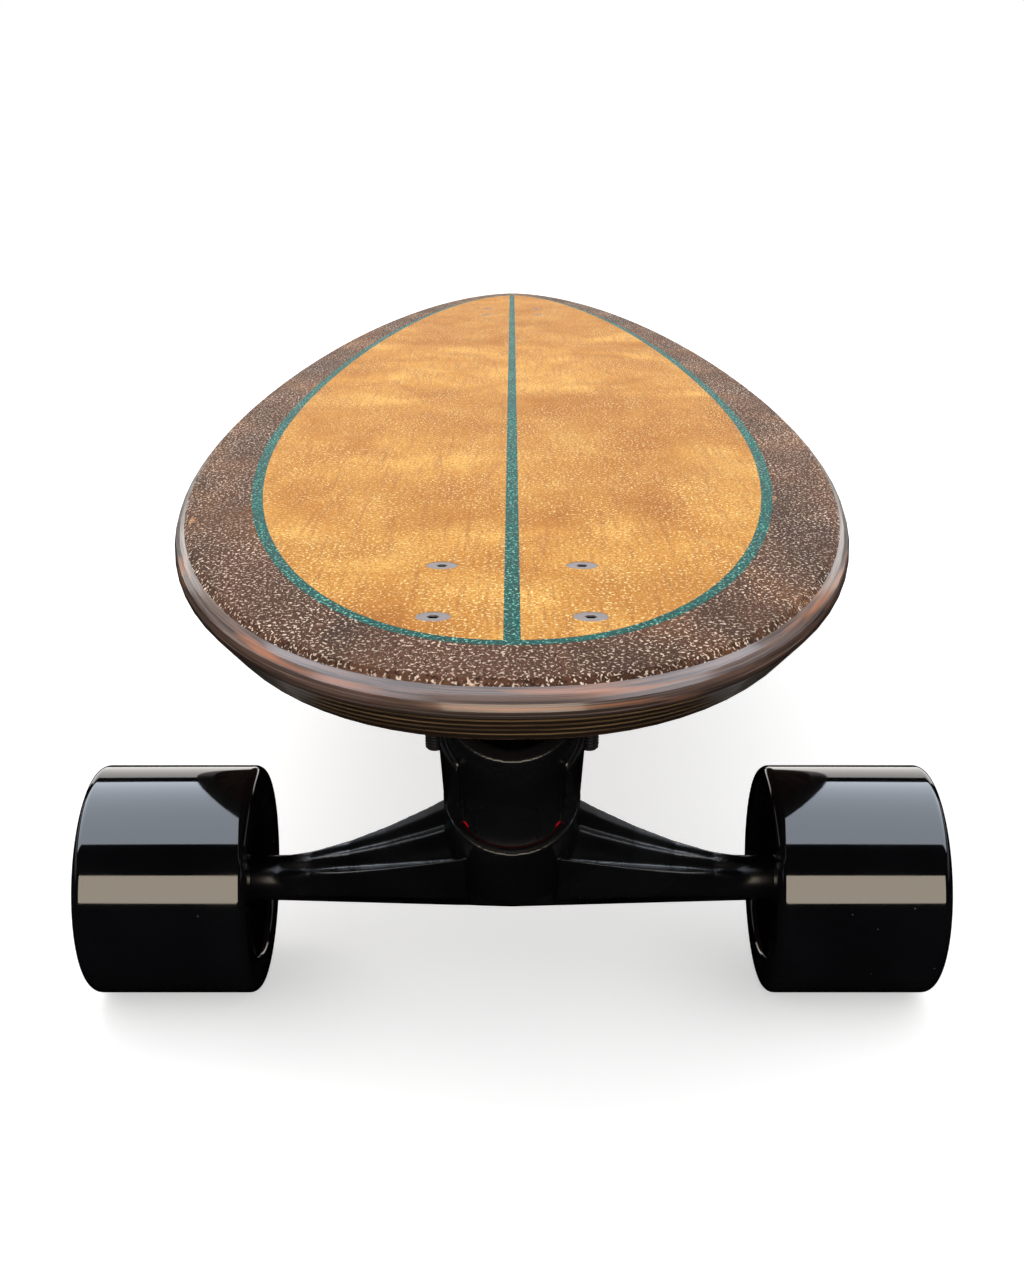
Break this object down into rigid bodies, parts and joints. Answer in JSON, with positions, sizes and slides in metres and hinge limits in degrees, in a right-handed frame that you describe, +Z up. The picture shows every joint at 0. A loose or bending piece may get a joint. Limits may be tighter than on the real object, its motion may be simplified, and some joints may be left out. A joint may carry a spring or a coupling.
{
  "type": "skateboard",
  "caption": "Surf-style longboard: rounded laminated deck with inlaid top, two sprung steering trucks and four free wheels on ball bearings.",
  "frame": {"origin": "on the floor under the middle of the deck", "axes": "+X to the right across the board, +Y from the nose to the tail, +Z up out of the standing face"},
  "size_m": [0.263, 1.143, 0.135],
  "materials": {
    "deck_ply": "laminated plywood edge under gloss varnish",
    "border_wood": "dark stained veneer under a clear grip coat",
    "field_wood": "amber figured veneer under a clear grip coat",
    "teal_inlay": "teal glitter resin inlay",
    "black_casting": "gloss black powder coat",
    "bolt_steel": "dark plated steel",
    "pin_steel": "zinc plated steel",
    "black_oxide": "black oxide steel",
    "bearing_steel": "polished bearing steel",
    "bronze_sleeve": "turned bronze",
    "red_urethane": "cast red urethane",
    "black_urethane": "mirror-gloss black urethane",
    "wheel_core": "moulded black nylon"
  },
  "bodies": {
    "board": {"deck_core": "deck_ply", "border_veneer": "border_wood", "pinstripe": "teal_inlay", "stringer": "teal_inlay", "field_left": "field_wood", "field_right": "field_wood", "front_baseplate": "black_casting", "front_mounting_bolts": "bolt_steel", "front_mounting_nuts": "black_oxide", "front_pivot_sleeve": "bronze_sleeve", "front_upper_bushing": "red_urethane", "rear_baseplate": "black_casting", "rear_mounting_bolts": "bolt_steel", "rear_mounting_nuts": "black_oxide", "rear_pivot_sleeve": "bronze_sleeve", "rear_upper_bushing": "red_urethane"},
    "front_hanger": {"front_hanger": "black_casting", "front_kingpin": "black_oxide", "front_kingpin_nut": "black_oxide", "front_kingpin_washer": "black_oxide", "front_lower_bushing": "red_urethane", "front_axle": "pin_steel", "front_axle_nuts": "pin_steel", "front_speed_washers": "pin_steel", "front_bearing_inner_rings": "bearing_steel", "front_bearing_spacers": "pin_steel"},
    "rear_hanger": {"rear_hanger": "black_casting", "rear_kingpin": "black_oxide", "rear_kingpin_nut": "black_oxide", "rear_kingpin_washer": "black_oxide", "rear_lower_bushing": "red_urethane", "rear_axle": "pin_steel", "rear_axle_nuts": "pin_steel", "rear_speed_washers": "pin_steel", "rear_bearing_inner_rings": "bearing_steel", "rear_bearing_spacers": "pin_steel"},
    "front_left_wheel": {"front_left_wheel_tyre": "black_urethane", "front_left_wheel_core": "wheel_core", "front_left_wheel_bearing_rings": "bearing_steel", "front_left_wheel_bearing_balls": "bearing_steel"},
    "front_right_wheel": {"front_right_wheel_tyre": "black_urethane", "front_right_wheel_core": "wheel_core", "front_right_wheel_bearing_rings": "bearing_steel", "front_right_wheel_bearing_balls": "bearing_steel"},
    "rear_left_wheel": {"rear_left_wheel_tyre": "black_urethane", "rear_left_wheel_core": "wheel_core", "rear_left_wheel_bearing_rings": "bearing_steel", "rear_left_wheel_bearing_balls": "bearing_steel"},
    "rear_right_wheel": {"rear_right_wheel_tyre": "black_urethane", "rear_right_wheel_core": "wheel_core", "rear_right_wheel_bearing_rings": "bearing_steel", "rear_right_wheel_bearing_balls": "bearing_steel"}
  },
  "joints": [
    {"name": "front_steer", "type": "hinge", "parent": "board", "child": "front_hanger", "pos_m": [0, -0.4635, 0.035], "axis": [0, -0.682, 0.7314], "range_deg": [-25, 25], "stiffness_Nm_per_rad": 40},
    {"name": "rear_steer", "type": "hinge", "parent": "board", "child": "rear_hanger", "pos_m": [0, 0.3495, 0.035], "axis": [0, 0.682, 0.7314], "range_deg": [-25, 25], "stiffness_Nm_per_rad": 40},
    {"name": "front_left_wheel_spin", "type": "hinge", "parent": "front_hanger", "child": "front_left_wheel", "pos_m": [-0.103, -0.4635, 0.035], "axis": [1, 0, 0], "continuous": true},
    {"name": "front_right_wheel_spin", "type": "hinge", "parent": "front_hanger", "child": "front_right_wheel", "pos_m": [0.103, -0.4635, 0.035], "axis": [1, 0, 0], "continuous": true},
    {"name": "rear_left_wheel_spin", "type": "hinge", "parent": "rear_hanger", "child": "rear_left_wheel", "pos_m": [-0.103, 0.3495, 0.035], "axis": [1, 0, 0], "continuous": true},
    {"name": "rear_right_wheel_spin", "type": "hinge", "parent": "rear_hanger", "child": "rear_right_wheel", "pos_m": [0.103, 0.3495, 0.035], "axis": [1, 0, 0], "continuous": true}
  ]
}
